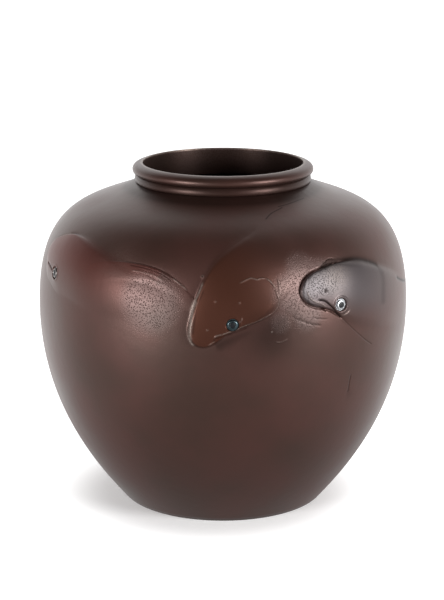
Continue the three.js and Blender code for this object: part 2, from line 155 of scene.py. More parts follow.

# Small bosses, with a negative height pits, and with none patches that are only painted: (height, radius,
# lightening, azimuth, up). Lightening as for the lines: paler is partly rubbing of the bosses and partly
# painted highlight, darker is painted shade in the pits.
DOTS = [
    (0.4, 0.9, 0.25, -6.1, 46.2), (-0.5, 0.5, -0.8, -6.1, 46.2), (0.3, 0.6, 0.3, -2.1, 30.8),
    (0.3, 0.6, 0.3, 4.6, 30), (0.3, 0.6, 0.3, -4.3, 13.5), (0.4, 0.5, 1, 13.9, 11),
    (-0.8, 1.0, -1, 31.1, 33.2), (0.2, 1.8, 0, 31.1, 33.2),
    # Painted patches: shade under the middle fish's jaw and on its gill cover, light on the right fish's head
    # and the left fish's back
    (0, 18, -0.62, 14, 11), (0, 10, -0.35, 13, 31), (0, 9, 0.38, 35.5, 41.5), (0, 13, 0.1, -34, 52),
]

# How finely curves are measured, and how many places on the wall at once
WALL_SAMPLES = 300
SPLINE_SAMPLES = 2000
SPINE_SAMPLES = 240
OUTLINE_SAMPLES = 400
LINE_SAMPLES = 120
INSIDE_SAMPLES = 40
AT_ONCE = 4000

# The lower this power, the fuller a fish's section. No section is narrower than the least width.
SECTION_POWER = 0.75
LEAST_WIDTH = 0.001 * MM

# Between these shares of the half width a fish's edge changes from its belly side to its back. Behind its
# softening it rises over twice this width. The body sinks into the wall with a rounding of this height.
EDGE_CHANGE = (-0.5, 0.5)
SOFT_EDGE = 4 * MM
SINK_ROUND = 0.5 * MM

# The share of a fish's length at which its colour is gone
COLOUR_END = 0.75

# Fish that meet run into each other: the higher this power, the sharper the valley between them. The groove
# of one fish's edge is gone where another fish stands this high.
MEETING_POWER = 4
COVERED_AT = 0.3 * MM

# The groove along a fish's edge runs out this much wider on the wall's side
GROOVE_SPREAD = 1.8

# A chased line grows shallow towards its ends, and reaches this many widths to its sides
LINE_END = 2.5 * MM
LINE_REACH = 4

# Zones where the surface is finely stippled: (azimuth, up, radius), up and radius in millimetres. Between
# these shares of the radius the stipple runs out.
STIPPLED = [(-21.5, 29, 20.5), (21, 34, 15), (30, 42, 14), (25, 20, 11), (16.5, 16, 7), (24.5, 50, 11)]
STIPPLE_END = (0.6, 1.2)

# Painted shade, as shares of the darker colour: on the wall next to the mouth ring, over this stretch of it,
# and on the ring up to its groove; a darker tone on the lip, from this many times the groove's height; and
# painted shade inside
SHADED = 14 * MM
RING_SHADE = 0.55
LIP_DARKENING = 0.18
LIP_DARKENING_FROM = 1.5
INSIDE_SHADE = 0.7

# Fineness of the wall's mesh, in metres between neighbouring points: on the bare wall, on a fish, along its
# edge and at the finest mark. A mark is meshed in steps of this many widths. A side of a triangle is split
# when it has more than this many times the wanted length.
COARSE_STEP = 4.0 * MM
FISH_STEP = 1.6 * MM
EDGE_STEP = 0.5 * MM
FINEST_STEP = 0.4 * MM
MARK_FINENESS = 0.9
SPLIT_SLACK = 1.5

# How far the finer mesh reaches: past a fish, from its edge (fine up to here, coarse from there), and from
# a mark, which is as fine over this many widths. Behind these shares of its length a fish's edge and its
# body need no finer mesh.
FISH_MARGIN = 4 * MM
EDGE_REACH = (0.0008, 0.008)
MARK_REACH = 8 * MM
MARK_CORE = 2
EDGE_FADED = 0.75
FISH_FADED = 0.9

# The grid on which the wanted fineness is looked up, and how far it reaches past the fish
DETAIL_CELL = 0.6 * MM
DETAIL_MARGIN = 0.03

# Points closer than this are one, and edges steeper than these angles are sharp
WELD = 0.001 * MM
WALL_SHARP = 60
TURNED_SHARP = 40

# The casting inside the foot: its thickness over the ledge, and the height from which its inside follows
# the wall. Then the rounded edge of the plate let into it.
LEDGE_THICKNESS = 3 * MM
FOOT_ROOT_HEIGHT = 14 * MM
PLATE_EDGE = 0.4 * MM

# Inlaid eyes
EYE_RADIUS = 3.7 * MM
PUPIL_RADIUS = 1.9 * MM
SOCKET_DEPTH = 2.2 * MM
EYE_PROUD = 0.3 * MM
EYE_SINK = 0.8 * MM
EYE_LEDGE = 0.4 * MM
EYE_BEVEL = 0.2 * MM
PUPIL_PROUD = 0.45 * MM
LID_RADIUS = 4.9 * MM
LID_WIDTH = 0.6 * MM
SOCKET_PLAY = 0.3 * MM
EYE_STEPS = 48
PUPIL_STEPS = 32
EYE_ARC_STEPS = 10

# Finish of the eyes: the pupil's colour; how bright clouds stay, how much rougher they are and their size;
# and fine rubbing
EYE_BLACK = (0.005, 0.006, 0.008)
EYE_CLOUDED = 0.75
EYE_MATT = 0.12
EYE_CLOUD_SIZE = 0.0012
EYE_GRAIN = {"Pit size": 0.0003, "Pit depth": 0.000003, "Ripple size": 0.001, "Ripple depth": 0.000005}

# The mouth ring over the shoulder
SPIGOT_LENGTH = 6 * MM
SPIGOT_WALL = 1.8 * MM
RING_HEIGHT = 12.6 * MM
COLLAR_BULGE = 0.9 * MM
COLLAR_HEIGHT = 4.6 * MM
GROOVE_DEPTH = 1.2 * MM
GROOVE_HEIGHT = 5.4 * MM
LIP_OVERHANG = 2.3 * MM
LIP_DROP = 4.4 * MM
LIP_FULLNESS = 0.8
LIP_EDGE = 0.5 * MM
RING_STEPS = 240
COLLAR_STEPS = 16
GROOVE_STEPS = 12
LIP_STEPS = 16
EDGE_ARC_STEPS = 4

# How strongly the mouth ring is stippled, and how much of the paler paint of rubbing and highlight stays
# between the speckles
RING_STIPPLE = 0.15
LEAST_WEAR_AND_HIGHLIGHT = 0.3

# Outwards from a pit's middle, in pit sizes: where its slope lies, and where the speckle sets in. Then the
# band of the noise in which clouds set in, and the noise's detail.
PIT_CHANGE = (0.1, 0.45)
SPECKLE_CHANGE = (0.2, 0.7)
CLOUD_CHANGE = (0.35, 0.65)
CLOUD_DETAIL = 4

# A cubic curve bulges by 3/4 of what its two middle points are pulled out
PULL_OF_BULGE = 4 / 3

# Camera: its place in metres, how far it looks down in radians, its lens in millimetres, and the distances
# between which it sees
CAMERA_PLACE = (-0.0006, -1.142, 0.4333)
CAMERA_PITCH = 0.2566
CAMERA_LENS = 103.3
CAMERA_CLIP = (0.01, 50)

# Each lamp: azimuth from the front towards the right, elevation, distance, size and power
LAMPS = {
    "Left softbox": (-46, 6, 1.3, 0.5, 16),
    "Right softbox": (54, 12, 1.3, 0.5, 19),
}
LAMP_AIM = (0, 0, 0.13)

# Floor and surroundings. Each change is (from, to, brightness at the first, brightness at the second): of
# the floor's glow as the camera sees it, away from the centre of its painted shade round the foot; of the
# floor as it lights the vase, along Y and to the sides; and of the light from all round, towards the world's
# pale side.
FLOOR_SIZE = 40.0
FLOOR_GREY = (0.8, 0.8, 0.8, 1)
SHADE_CENTRE = (-0.006, -0.006, 0)
SHADE_CHANGE = (0.07, 0.13, 0.25, 1.0)
FLOOR_CHANGE = (-0.1, 0.2, 0.5, 1.3)
FLOOR_SIDE_CHANGE = (0.05, 0.25, 0, 0.4)
PALE_SIDE = (0.05, 1, -0.65)
WORLD_CHANGE = (-0.36, 0.62, 0.08, 1.6)
WHITE = (1, 1, 1, 1)


# Settings, each with its name, its description, its default and its unit

def as_length(name, description, default, **limits):
    return bpy.props.FloatProperty(
        name=name, description=description, default=default, unit="LENGTH", **limits)


def as_angle(name, description, degrees):
    return bpy.props.FloatProperty(
        name=name, description=description, default=math.radians(degrees), subtype="ANGLE")


def as_factor(name, description, default):
    return bpy.props.FloatProperty(
        name=name, description=description, default=default, min=0, max=1, subtype="FACTOR")


def as_colour(name, description, default):
    return bpy.props.FloatVectorProperty(
        name=name, description=description, default=default, min=0, max=1, subtype="COLOR")


class VaseSettings(bpy.types.PropertyGroup):
    """Sizes of the vase"""

    foot_radius: as_length(
        "Foot radius", "Outer radius of the ring it stands on", 0.070, min=0.03, max=0.12)
    foot_flare: as_angle("Foot flare", "Lean of the wall away from upright where it leaves the foot", 40)
    foot_hold: as_length("Foot hold", "How far the wall keeps its direction at the foot", 0.0265)
    belly_radius: as_length("Belly radius", "Largest radius of the wall", 0.125)
    belly_height: as_length("Belly height", "Height of the widest line", 0.134)
    belly_hold_below: as_length(
        "Hold below belly", "How far the wall stays upright under the belly line", 0.0697)
    belly_hold_above: as_length(
        "Hold above belly", "How far the wall stays upright over the belly line", 0.0772)
    shoulder_radius: as_length("Shoulder radius", "Radius where the shoulder meets the mouth ring", 0.0585)
    shoulder_height: as_length("Shoulder height", "Height where the shoulder meets the mouth ring", 0.2174)
    shoulder_slope: as_angle("Shoulder slope", "Rise of the shoulder at the mouth ring", 31.6)
    shoulder_hold: as_length(
        "Shoulder hold", "How far the shoulder keeps its direction at the mouth ring", 0.0305)
    wall: as_length("Wall", "Thickness of the cast wall", 0.003)
    foot_face: as_length("Foot face", "Width of the flat ring it stands on", 0.0077)
    ledge: as_length("Ledge", "Width of the ledge over the base plate", 0.0043)
    plate_thickness: as_length("Plate thickness", "Thickness of the base plate", 0.003)
    plate_recess: as_length("Plate recess", "Height of the base plate over the foot", 0.002)
    land: as_length("Land", "Width of the flat under the mouth ring", 0.0025)
    clearance: as_length("Clearance", "Play between parts that fit into each other", 0.0003)


class BronzeLook(bpy.types.PropertyGroup):
    """Colours and finish of the patinated bronze"""

    metallic: as_factor("Metallic", "Share of bare metal in the finish", 0.55)
    ground: as_colour("Ground", "Dark brown of the wall", (0.054, 0.0262, 0.0198))
    ground_warm: as_colour("Warm ground", "Redder clouds in the wall's brown", (0.068, 0.0278, 0.0218))
    left_fish: as_colour("Left fish", "Copper red of the left fish", (0.085, 0.0245, 0.0185))
    middle_fish: as_colour("Middle fish", "Orange brown of the middle fish", (0.063, 0.0228, 0.0142))
    right_fish: as_colour("Right fish", "Slate grey of the right fish", (0.060, 0.048, 0.050))
    # Paler paint: rubbing on raised ridges, and a painted highlight where edges would catch the lamps
    rubbed: as_colour("Rubbed", "Paler bronze where ridges are rubbed", (0.22, 0.175, 0.15))
    # Painted shade in grooves, hollows, under the mouth ring and inside, and the darker tone of scratches and
    # the lip
    dark: as_colour("Dark", "Darker patina in the grooves", (0.011, 0.007, 0.006))
    shine: as_factor("Shine", "Strength of the colourless sheen", 0.5)
    left_shine: as_factor("Left fish shine", "Sheen of the left fish", 0.4)
    middle_shine: as_factor("Middle fish shine", "Sheen of the middle fish", 0.15)
    right_shine: as_factor("Right fish shine", "Sheen of the right fish", 0.65)
    stipple_shine: as_factor("Stipple shine", "Sheen where the surface is stippled", 1.0)
    stipple_roughness: as_factor("Stipple roughness", "Roughness where the surface is stippled", 0.46)
    # Roughness of the paler paint of rubbing and highlight
    wear_and_highlight_roughness: as_factor("Rubbed roughness", "Roughness where ridges are rubbed", 0.6)
    cloud_size: as_length("Cloud size", "Size of the clouds in the patina", 0.045)
    smooth: as_factor("Smooth roughness", "Roughness where the patina is polished", 0.36)
    matt: as_factor("Matt roughness", "Roughness where the patina is dull", 0.42)
    pit_size: as_length("Pit size", "Spacing of the fine casting pits", 0.0009)
    pit_depth: as_length("Pit depth", "Depth of the fine casting pits", 0.00001)
    stipple_depth: as_length("Stipple depth", "Depth of the pits where the surface is stippled", 0.00014)
    ripple_size: as_length("Ripple size", "Size of the soft ripples", 0.006)
    ripple_depth: as_length("Ripple depth", "Depth of the soft ripples", 0.00006)


# Curves and places

def bezier(ends, count):
    """Points of a cubic curve through its four control points"""
    t = np.linspace(0, 1, count)[:, None]
    a, b, c, d = (np.array(p, float) for p in ends)
    return (1 - t) ** 3 * a + 3 * (1 - t) ** 2 * t * b + 3 * (1 - t) * t ** 2 * c + t ** 3 * d


def arc(start, pull, end, count):
    """Points of a quadratic curve, its start left out"""
    t = np.linspace(0, 1, count + 1)[1:, None]
    a, b, c = (np.array(p, float) for p in (start, pull, end))
    return [tuple(p) for p in (1 - t) ** 2 * a + 2 * (1 - t) * t * b + t ** 2 * c]


def smooth_step(low, high, x):
    t = np.clip((x - low) / (high - low), 0, 1)
    return t * t * (3 - 2 * t)


def bump(distance, width):
    """A soft bump: 1 in its middle, next to nothing two widths away"""
    return np.exp(-(distance / width) ** 2)


def spline(points, count):
    """Points on a smooth curve through the given ones, evenly spaced by parameter"""
    p = np.array(points, float)
    p = np.vstack([p[:1], p, p[-1:]])
    t = np.linspace(0, len(points) - 1, count)
    i = np.minimum(t.astype(int), len(points) - 2)
    w = (t - i)[:, None]
    a, b, c, d = p[i], p[i + 1], p[i + 2], p[i + 3]
    v0, v1 = (c - a) / 2, (d - b) / 2
    return (2 * b - 2 * c + v0 + v1) * w ** 3 + (-3 * b + 3 * c - 2 * v0 - v1) * w ** 2 + v0 * w + b


def lengths_along(line):
    """The length along a line at each of its points"""
    return np.concatenate([[0], np.cumsum(np.hypot(*np.diff(line, axis=0).T))])


def parts_of(count):
    """The numbers up to a count, in parts that fit into memory"""
    return np.array_split(np.arange(count), max(1, count // AT_ONCE))


def within(line, reach, around, up):
    """The numbers of the places in a box that reaches round a line of (around, up) places"""
    low, high = line.min(axis=0) - reach, line.max(axis=0) + reach
    return np.flatnonzero((around > low[0]) & (around < high[0]) & (up > low[1]) & (up < high[1]))


class Wall:
    """The outer wall's curve, from the foot up to the shoulder"""

    def __init__(self, s):
        lean = np.array([math.sin(s.foot_flare), math.cos(s.foot_flare)]) * s.foot_hold
        rise = np.array([math.cos(s.shoulder_slope), -math.sin(s.shoulder_slope)]) * s.shoulder_hold
        foot = np.array([s.foot_radius, 0.0])
        belly = np.array([s.belly_radius, s.belly_height])
        shoulder = np.array([s.shoulder_radius, s.shoulder_height])
        under = belly - (0, s.belly_hold_below)
        over = belly + (0, s.belly_hold_above)
        lower = bezier([foot, foot + lean, under, belly], WALL_SAMPLES)
        upper = bezier([belly, over, shoulder + rise, shoulder], WALL_SAMPLES)
        line = np.vstack([lower, upper[1:]])
        along = lengths_along(line)
        self.up = along - along[len(lower) - 1]
        self.radius, self.height = line.T
        tangent = np.gradient(line, self.up, axis=0)
        tangent /= np.hypot(*tangent.T)[:, None]
        self.out_radius, self.out_height = tangent[:, 1], -tangent[:, 0]
        self.belly_radius = s.belly_radius
        self.low, self.high = self.up[0], self.up[-1]

    def radius_at(self, up):
        return np.interp(up, self.up, self.radius)

    def places(self, points):
        """(around, up) of points given as azimuth in degrees and up in millimetres"""
        azimuth, up = np.array(points, float).T
        return np.stack([np.radians(azimuth) * self.belly_radius, up * MM], axis=-1)

    def nearest(self, line, around, up):
        """Distance of places on the wall from a line of (around, up) places, and its nearest point"""
        squeeze = self.radius_at(up) / self.belly_radius
        best, which = np.empty(len(around)), np.empty(len(around), int)
        for part in parts_of(len(around)):
            dx = (around[part, None] - line[None, :, 0]) * squeeze[part, None]
            dy = up[part, None] - line[None, :, 1]
            square = dx * dx + dy * dy
            which[part] = np.argmin(square, axis=1)
            best[part] = np.sqrt(square[np.arange(len(part)), which[part]])
        return best, which

    def distance_to(self, line, around, up):
        return self.nearest(line, around, up)[0]

    def points(self, around, up, lift):
        """Points in space of places on the wall, lifted off it"""
        angle = around / self.belly_radius
        radius = self.radius_at(up) + np.interp(up, self.up, self.out_radius) * lift
        height = np.interp(up, self.up, self.height) + np.interp(up, self.up, self.out_height) * lift
        return np.stack([radius * np.sin(angle), -radius * np.cos(angle), height], axis=-1)


class Fish:
    """One fish on the wall: its spine, its outline and how high it stands"""

    def __init__(self, name, wall):
        shape = FISH[name]
        self.nose_width, self.nose_length = shape["nose_width"] * MM, shape["nose_length"] * MM
        self.half_width, self.head_length = shape["half_width"] * MM, shape["head_length"] * MM
        self.tail_width, self.inset = shape["tail_width"] * MM, shape["inset"] * MM
        self.dome, self.lift, self.lean = (shape[key] * MM for key in ("dome", "lift", "lean"))
        self.edge = [half * MM for half in shape["edge"]]
        self.softening = [end * MM for end in shape["softening"]]
        self.fade_from, self.undercut, self.tinted = shape["fade_from"], shape["undercut"], shape["tinted"]
        self.wall = wall
        self.eye = wall.places([shape["eye"]])[0] if "eye" in shape else None
        self.lid = shape.get("lid", 0) * MM
        dense = spline(wall.places(shape["spine"]), SPLINE_SAMPLES)
        along = lengths_along(dense)
        self.length = along[-1]
        self.back = np.linspace(0, self.length, SPINE_SAMPLES)
        self.spine = np.stack([np.interp(self.back, along, dense[:, k]) for k in (0, 1)], axis=-1)
        tangent = np.gradient(self.spine, self.back, axis=0)
        self.squeeze = wall.radius_at(self.spine[:, 1]) / wall.belly_radius
        ahead = tangent * np.stack([self.squeeze, np.ones_like(self.squeeze)], axis=-1)
        self.ahead = ahead / np.hypot(*ahead.T)[:, None]

    def width_at(self, back):
        nose = np.clip(back / self.nose_length, 0, 1)
        swell = smooth_step(0, self.head_length, back)
        taper = smooth_step(self.head_length, self.length, back)
        wide = self.nose_width + (self.half_width - self.nose_width) * swell
        wide = wide + (self.tail_width - self.half_width) * taper
        return wide * np.sqrt(1 - (1 - nose) ** 2)

    def place(self, back, across):
        """(around, up) of places on the fish"""
        x, y = (np.interp(back, self.back, self.spine[:, k]) for k in (0, 1))
        ax, ay = (np.interp(back, self.back, self.ahead[:, k]) for k in (0, 1))
        squeeze = np.interp(back, self.back, self.squeeze)
        return np.stack([x - ay * across / squeeze, y + ax * across], axis=-1)

    def measure(self, around, up):
        """(back, across) of places on the wall"""
        back, across = np.empty_like(around), np.empty_like(around)
        for part in parts_of(len(around)):
            dx = (around[part, None] - self.spine[None, :, 0]) * self.squeeze
            dy = up[part, None] - self.spine[None, :, 1]
            near = np.argmin(dx * dx + dy * dy, axis=1)
            row = np.arange(len(part))
            dx, dy = dx[row, near], dy[row, near]
            ahead = self.ahead[near]
            back[part] = self.back[near] + dx * ahead[:, 0] + dy * ahead[:, 1]
            across[part] = dy * ahead[:, 0] - dx * ahead[:, 1]
        return back, across

    def outline(self):
        back = self.length * (1 - np.cos(np.linspace(0, math.pi / 2, OUTLINE_SAMPLES)))
        width = self.width_at(back)
        return np.vstack([self.place(back, width), self.place(back, -width)])

    def eye_distance(self, around, up):
        squeeze = self.wall.radius_at(self.eye[1]) / self.wall.belly_radius
        return np.hypot((around - self.eye[0]) * squeeze, up - self.eye[1])

    def wanted_step(self, around, up):
        """How far apart the mesh's points may lie at places near the fish"""
        back, across = self.measure(around, up)
        width = self.width_at(np.maximum(back, 0))
        share = back / self.length
        inside = (np.abs(across) < width + FISH_MARGIN) & (back > -FISH_MARGIN) & (share < FISH_FADED)
        step = np.where(inside, FISH_STEP, COARSE_STEP)
        outline = self.wall.distance_to(self.outline(), around, up)
        close = np.where(share < EDGE_FADED, outline, np.inf)
        if self.eye is not None:
            close = np.minimum(close, self.eye_distance(around, up) - LID_RADIUS)
        fine = EDGE_STEP + (COARSE_STEP - EDGE_STEP) * smooth_step(*EDGE_REACH, close)
        return np.minimum(step, fine)

    def near(self, around, up):
        """The numbers of the places in the fish's surroundings"""
        return within(self.spine, 2 * (self.half_width + FISH_MARGIN), around, up)

    def bare_lift(self, back, across):
        """Lift of the smooth fish over the wall: its height where it bulges, and of its edges"""
        width = np.maximum(self.width_at(np.maximum(back, 0)), LEAST_WIDTH)
        q = np.clip(across / width, -1, 1)
        sunk = smooth_step(self.fade_from, 1, back / self.length)
        edge = self.lift - sunk * (self.lift + self.dome + self.lean) + self.lean * q
        bulge = self.dome * np.minimum(width / self.half_width, 1) * (1 - q * q) ** SECTION_POWER
        return edge + bulge, edge, sunk

    def relief(self, around, up):
        """How far the surface rises over the wall, how deep the groove along its edge and the eye's socket
        are cut, and a mask of the skin"""
        back, across = self.measure(around, up)
        inside = (np.abs(across) < self.width_at(np.maximum(back, 0))) & (back > 0)
        outline = self.wall.distance_to(self.outline(), around, up)
        outline = np.where(inside, outline, -outline) - self.inset
        lift, edge, sunk = self.bare_lift(back, across)
        softened = smooth_step(*self.softening, back)
        crisp = np.interp(across / self.half_width, EDGE_CHANGE, self.edge)
        soft = crisp + (SOFT_EDGE - crisp) * softened
        rise = (lift + np.sqrt(lift ** 2 + SINK_ROUND ** 2)) / 2 * smooth_step(-soft, soft, outline)
        standing = np.maximum(edge, 0) * (1 - softened)
        beyond = outline + crisp
        groove = bump(beyond, np.where(beyond < 0, GROOVE_SPREAD * crisp, crisp))
        shadow = self.undercut * standing * groove
        cut = np.zeros_like(rise)
        if self.eye is not None:
            eye = self.eye_distance(around, up)
            cut -= self.lid * bump(eye - LID_RADIUS, LID_WIDTH)
            cut += SOCKET_DEPTH * (1 - smooth_step(EYE_RADIUS, EYE_RADIUS + SOCKET_PLAY, eye))
        skin = smooth_step(-soft, soft, outline) * smooth_step(*self.tinted, across / self.half_width)
        skin *= 1 - smooth_step(self.fade_from, COLOUR_END, back / self.length)
        return rise, shadow, cut, skin

    def skin_point(self, around, up):
        back, across = self.measure(np.array([around]), np.array([up]))
        return Vector(self.wall.points(around, up, self.bare_lift(back, across)[0][0]))

    def eye_frame(self):
        """A matrix at the eye, its Z axis straight out of the fish"""
        around, up = self.eye
        centre = self.skin_point(around, up)
        aside = self.skin_point(around + MM, up) - centre
        above = self.skin_point(around, up + MM) - centre
        out = aside.cross(above).normalized()
        return Matrix.Translation(centre) @ out.to_track_quat("Z", "Y").to_matrix().to_4x4()


def refine(places, triangles, wanted):
    """Splits the edges that are longer than wanted at their middle. A triangle is split at its longest edge
    first, and so are its neighbours, so that no gap opens between them."""
    while True:
        pairs = np.sort(triangles[:, [0, 1, 1, 2, 2, 0]].reshape(-1, 2), axis=1)
        edges, which = np.unique(pairs, axis=0, return_inverse=True)
        which = which.reshape(-1, 3)
        starts, ends = places[edges[:, 0]], places[edges[:, 1]]
        length = np.hypot(*(ends - starts).T)
        middle = (starts + ends) / 2
        split = length > wanted(middle) * SPLIT_SLACK
        if not split.any():
            return places, triangles
        side = np.argmax(length[which], axis=1)
        longest = which[np.arange(len(which)), side]
        while (grow := split[which].any(axis=1) & ~split[longest]).any():
            split[longest[grow]] = True
        new = np.full(len(edges), -1)
        new[split] = len(places) + np.arange(split.sum())
        places = np.vstack([places, middle[split]])
        made = []
        for corner in range(3):
            cut = (side == corner) & split[longest]
            a, b, c = np.roll(triangles[cut], -corner, axis=1).T
            ab, bc, ca = np.roll(new[which[cut]], -corner, axis=1).T
            for chosen, *corners in (
                (ca < 0, a, ab, c), (bc < 0, ab, b, c),
                (ca >= 0, a, ab, ca), (ca >= 0, ab, c, ca),
                (bc >= 0, ab, b, bc), (bc >= 0, ab, bc, c),
            ):
                made.append(np.stack(corners, axis=1)[chosen])
        made.append(triangles[~split[which].any(axis=1)])
        triangles = np.vstack(made)


class Detail:
    """How fine the wall's mesh has to be, looked up on a grid of places round the fish"""

    def __init__(self, fishes, wall):
        low = np.min([f.spine.min(axis=0) for f in fishes], axis=0) - DETAIL_MARGIN
        high = np.max([f.spine.max(axis=0) for f in fishes], axis=0) + DETAIL_MARGIN
        high[1] = min(high[1], wall.high)
        self.low = low
        self.count = np.ceil((high - low) / DETAIL_CELL).astype(int) + 1
        around = low[0] + np.arange(self.count[0]) * DETAIL_CELL
        up = low[1] + np.arange(self.count[1]) * DETAIL_CELL
        around, up = (a.ravel() for a in np.meshgrid(around, up, indexing="ij"))
        step = np.full(len(around), COARSE_STEP)
        for fish in fishes:
            near = fish.near(around, up)
            step[near] = np.minimum(step[near], fish.wanted_step(around[near], up[near]))
        marks = [(width, wall.places(points)) for _, width, _, points in LINES]
        marks += [(radius, wall.places([place])) for _, radius, _, *place in DOTS]
        for width, points in marks:
            line = spline(points, LINE_SAMPLES) if len(points) > 1 else points
            near = within(line, MARK_REACH, around, up)
            away = wall.distance_to(line, around[near], up[near]) - MARK_CORE * width * MM
            fine = max(width * MM * MARK_FINENESS, FINEST_STEP)
            wanted = fine + (COARSE_STEP - fine) * smooth_step(0, MARK_REACH, away)
            step[near] = np.minimum(step[near], wanted)
        self.step = step.reshape(self.count)

    def __call__(self, places):
        cell = np.rint((places - self.low) / DETAIL_CELL).astype(int)
        known = ((cell >= 0) & (cell < self.count)).all(axis=1)
        step = np.full(len(places), COARSE_STEP)
        step[known] = self.step[tuple(cell[known].T)]
        return step


# Building meshes

def chased(wall, around, up):
    """How deep the lines and pits are cut at places on the wall; how much paler they are painted, as rubbing
    and painted highlight; and how much darker, as painted shade and the darker tone of scratches
    """
    cut, rubbed, dark = (np.zeros(len(around)) for _ in range(3))
    for depth, width, lightening, points in LINES:
        line = spline(wall.places(points), LINE_SAMPLES)
        near = within(line, LINE_REACH * width * MM, around, up)
        away, which = wall.nearest(line, around[near], up[near])
        along = lengths_along(line)
        shape = bump(away, width * MM) * smooth_step(0, LINE_END, np.minimum(along, along[-1] - along)[which])
        cut[near] += depth * MM * shape
        rubbed[near] = np.maximum(rubbed[near], shape * lightening)
        dark[near] = np.maximum(dark[near], -shape * lightening)
    for height, radius, lightening, *place in DOTS:
        boss = bump(wall.distance_to(wall.places([place]), around, up), radius * MM)
        cut -= height * MM * boss
        rubbed = np.maximum(rubbed, boss * lightening)
        dark = np.maximum(dark, -boss * lightening)
    return cut, rubbed, dark


def stippling(wall, around, up):
    """How strongly the surface is stippled at places on the wall"""
    smooth = np.ones(len(around))
    for azimuth, height, radius in STIPPLED:
        away = wall.distance_to(wall.places([(azimuth, height)]), around, up)
        smooth *= smooth_step(*(share * radius * MM for share in STIPPLE_END), away)
    return 1 - smooth


def object_from(name, mesh):
    piece = bpy.data.objects.new(name, mesh)
    bpy.context.scene.collection.objects.link(piece)
    return piece


def shade(mesh, sharp_degrees):
    mesh.shade_smooth()
    mesh.set_sharp_from_angle(angle=math.radians(sharp_degrees))


def add_masks(mesh, masks):
    """Stores each mask's value at each point of the mesh"""
    for name, mask in masks.items():
        mesh.attributes.new(name, "FLOAT", "POINT").data.foreach_set("value", mask)


def finish_piece(piece, slot, *nodes):
    """Hides the frame's own parts for the nodes that a piece stands in for, and hangs the piece on the vase's
    root
    """
    if not piece.data.polygons:
        raise RuntimeError(f"{piece.name} has no surface")
    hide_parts(*nodes)
    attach(piece, "root")


def wall_places(wall):
    """A coarse flat grid of the whole wall, unrolled"""
    half = math.pi * wall.belly_radius
    columns = round(2 * half / COARSE_STEP)
    rows = round((wall.high - wall.low) / COARSE_STEP)
    around = np.linspace(-half, half, columns + 1)
    up = np.linspace(wall.low, wall.high, rows + 1)
    places = np.stack(np.meshgrid(around, up), axis=-1).reshape(-1, 2)
    row, column = np.meshgrid(np.arange(rows), np.arange(columns), indexing="ij")
    a = (row * (columns + 1) + column).ravel()
    b, c, d = a + 1, a + columns + 1, a + columns + 2
    return places, np.vstack([np.stack([a, b, d], axis=1), np.stack([a, d, c], axis=1)])


def inside_profile(wall, s):
    """Radius and height down the inside of the vase, from the mouth to the outer edge of the foot"""
    bore = s.shoulder_radius - s.land
    rabbet = s.foot_radius - s.foot_face
    ledge = s.plate_recess + s.plate_thickness
    share = np.linspace(1, 0, INSIDE_SAMPLES)
    up = wall.low + share * (wall.high - wall.low)
    radius = wall.radius_at(up) - np.interp(up, wall.up, wall.out_radius) * s.wall
    height = np.interp(up, wall.up, wall.height) - np.interp(up, wall.up, wall.out_height) * s.wall
    line = [(bore, s.shoulder_height), (bore, height[0] + s.wall / 2)]
    line += [(r, h) for r, h in zip(radius, height) if r > bore and h > FOOT_ROOT_HEIGHT]
    line += [(rabbet - s.ledge, ledge + LEDGE_THICKNESS), (rabbet - s.ledge, ledge)]
    line += [(rabbet, ledge), (rabbet, 0.0), (s.foot_radius, 0.0)]
    return line


def close_inside(body, line):
    """Goes down the inside ring by ring from the top edge of the wall with painted shade, and joins up with
    its foot
    """
    dark = body.verts.layers.float["dark"]
    rim = [e for e in body.edges if e.is_boundary and e.verts[0].co.z > line[0][1] / 2]
    for radius, height in line:
        made = bmesh.ops.extrude_edge_only(body, edges=rim)["geom"]
        for vert in (v for v in made if isinstance(v, bmesh.types.BMVert)):
            flat = vert.co.xy.normalized() * radius
            vert.co = (flat.x, flat.y, height)
            # Painted shade inside, none under the foot
            vert[dark] = INSIDE_SHADE if height > 0 else 0
        rim = [e for e in made if isinstance(e, bmesh.types.BMEdge)]
    bmesh.ops.remove_doubles(body, verts=body.verts, dist=WELD)


# Nodes

class NodeMaker:
    """Makes the nodes of one tree"""

    def __init__(self, tree):
        self.nodes, self.link = tree.nodes, tree.links.new

    def node(self, kind, inputs=None, **settings):
        """A node with its settings, and with a value or another node's output for each input given"""
        node = self.nodes.new(kind)
        for name, value in settings.items():
            setattr(node, name, value)
        for name, value in (inputs or {}).items():
            if isinstance(value, bpy.types.NodeSocket):
                self.link(value, node.inputs[name])
            else:
                node.inputs[name].default_value = value
        return node

    def maths(self, operation, *values):
        return self.node("ShaderNodeMath", dict(enumerate(values)), operation=operation).outputs[0]

    def ranged(self, value, low, high, at_low, at_high, kind="SMOOTHSTEP"):
        """A smooth or, with the kind LINEAR, an even change of a value from one range to another"""
        limits = {"From Min": low, "From Max": high, "To Min": at_low, "To Max": at_high, "Value": value}
        return self.node("ShaderNodeMapRange", limits, interpolation_type=kind).outputs[0]

    def blend_over(self, socket, mask, above):
        """Turns what a socket holds into another value or colour where the mask is 1"""
        below = socket.links[0].from_socket if socket.is_linked else socket.default_value
        kind = "FLOAT" if isinstance(above, float) else "RGBA"
        above = above if kind == "FLOAT" else (*above, 1)
        mix = self.node("ShaderNodeMix", {"Factor": mask, "A": below, "B": above}, data_type=kind)
        self.link(mix.outputs["Result"], socket)

    def seen_or_unseen(self, seen, unseen):
        """One shader for the camera's rays and another one for all others"""
        camera = self.node("ShaderNodeLightPath").outputs["Is Camera Ray"]
        return self.node("ShaderNodeMixShader", {0: camera, 1: unseen, 2: seen}).outputs[0]


def shared_tree(name, build):
    """The node group of that name, built when it is first asked for"""
    return bpy.data.node_groups.get(name) or build(name)


# Turned pieces

